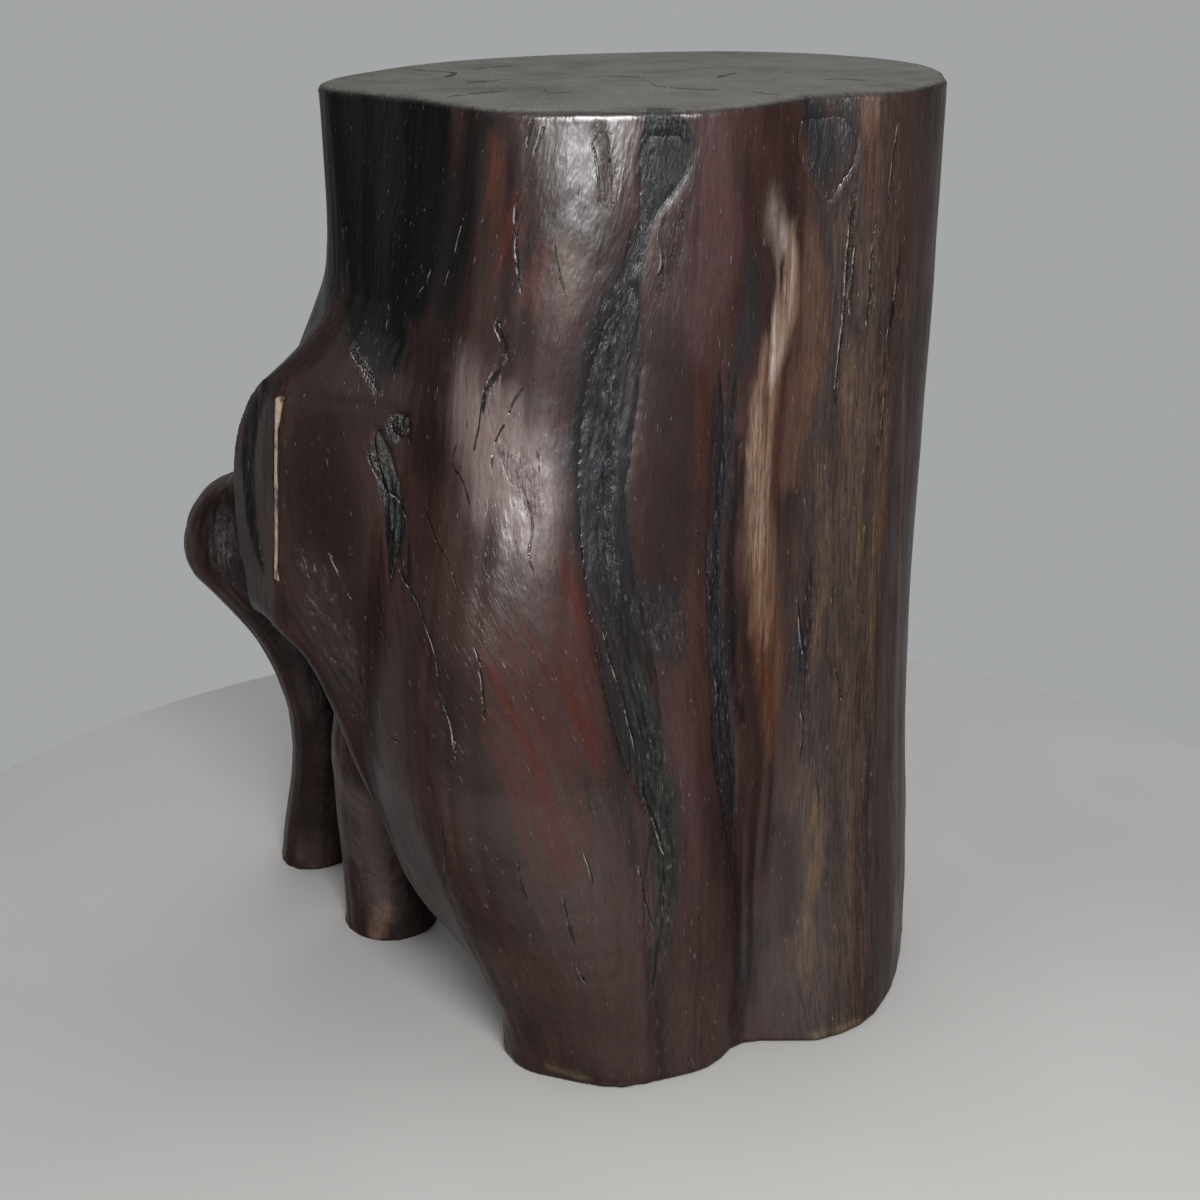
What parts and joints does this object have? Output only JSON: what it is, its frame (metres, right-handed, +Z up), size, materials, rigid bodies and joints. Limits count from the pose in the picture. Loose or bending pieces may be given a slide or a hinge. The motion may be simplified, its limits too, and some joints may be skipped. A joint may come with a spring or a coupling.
{
  "type": "log stool",
  "caption": "Stool carved from one short log, with an arch cut through its left side that leaves a broad foot and slim legs.",
  "frame": {"origin": "on the floor, under the middle of the seat", "axes": "+Z up through the seat; -Y the way the stool faces in the picture; +X to the right seen from there, so the arch and the legs are on -X"},
  "size_m": [0.3814, 0.3255, 0.45],
  "materials": {
    "waxed_wood": "dark red-brown hardwood, hand-smoothed and waxed to a satin sheen",
    "bark": "ingrown bark, blue-black, rough and dull",
    "knot": "dark knot, rough",
    "filler": "pale wood filler, dull"
  },
  "bodies": {
    "root": {"trunk": "waxed_wood", "bark_seam_top": "bark", "bark_seam_belly": "bark", "bark_seam_foot": "bark", "bark_seam_middle": "bark", "bark_patch_right": "bark", "bark_pocket_knee": "bark", "knot_front_left": "knot", "crack_filler_knee": "filler"}
  },
  "joints": []
}
